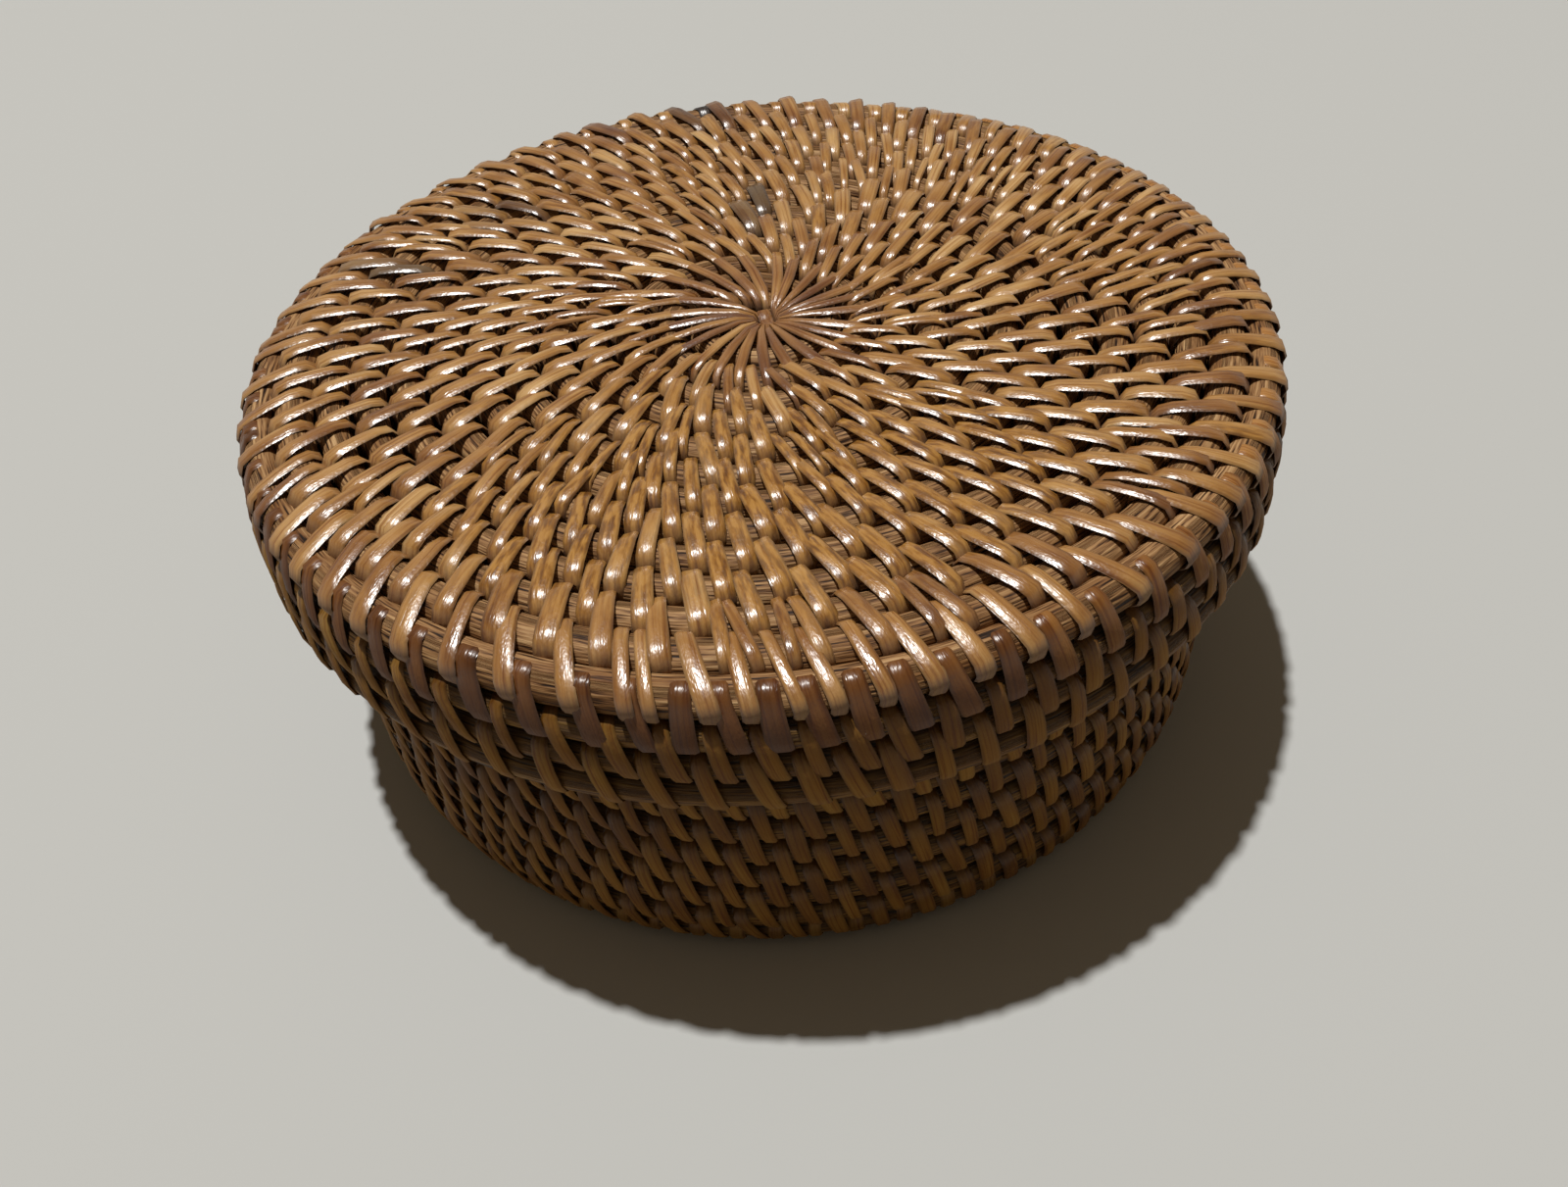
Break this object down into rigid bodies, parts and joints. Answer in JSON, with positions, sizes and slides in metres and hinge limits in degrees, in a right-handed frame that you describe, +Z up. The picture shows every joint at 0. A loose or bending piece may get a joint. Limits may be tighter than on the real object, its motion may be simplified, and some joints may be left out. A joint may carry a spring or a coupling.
{
  "type": "lidded coiled basket",
  "caption": "Low round coiled basket of rattan rods bound with split peel, with a slip-over cap lid that lifts straight off.",
  "frame": {"origin": "middle of the underside, on the surface that the basket stands on", "axes": "+Z up along the basket's axis and the lid's lift, +Y away from the viewer of the picture, +X to the viewer's right"},
  "size_m": [0.1924, 0.1924, 0.0786],
  "materials": {
    "core_rod": "matt fibrous rattan core",
    "peel": "glossy split rattan peel",
    "dark_peel": "glossy stained rattan peel"
  },
  "bodies": {
    "base": {"base_floor_coil": "core_rod", "base_lower_coil": "core_rod", "base_middle_coil": "core_rod", "base_upper_coil": "core_rod", "base_hub_lashing": "peel", "base_inner_lashing": "peel", "base_foot_lashing": "peel", "base_corner_lashing": "peel", "base_lower_lashing": "peel", "base_upper_lashing": "peel", "base_rim_lashing": "peel"},
    "lid": {"lid_top_coil": "core_rod", "lid_wall_coil": "core_rod", "lid_hub_lashing": "peel", "lid_inner_lashing": "peel", "lid_outer_lashing": "peel", "lid_shoulder_lashing": "peel", "lid_rim_lashing": "dark_peel", "lid_wall_lashing": "peel"}
  },
  "joints": [
    {"name": "lid_lift", "type": "slide", "parent": "base", "child": "lid", "axis": [0, 0, 1], "range_m": [0, 0.08]}
  ]
}
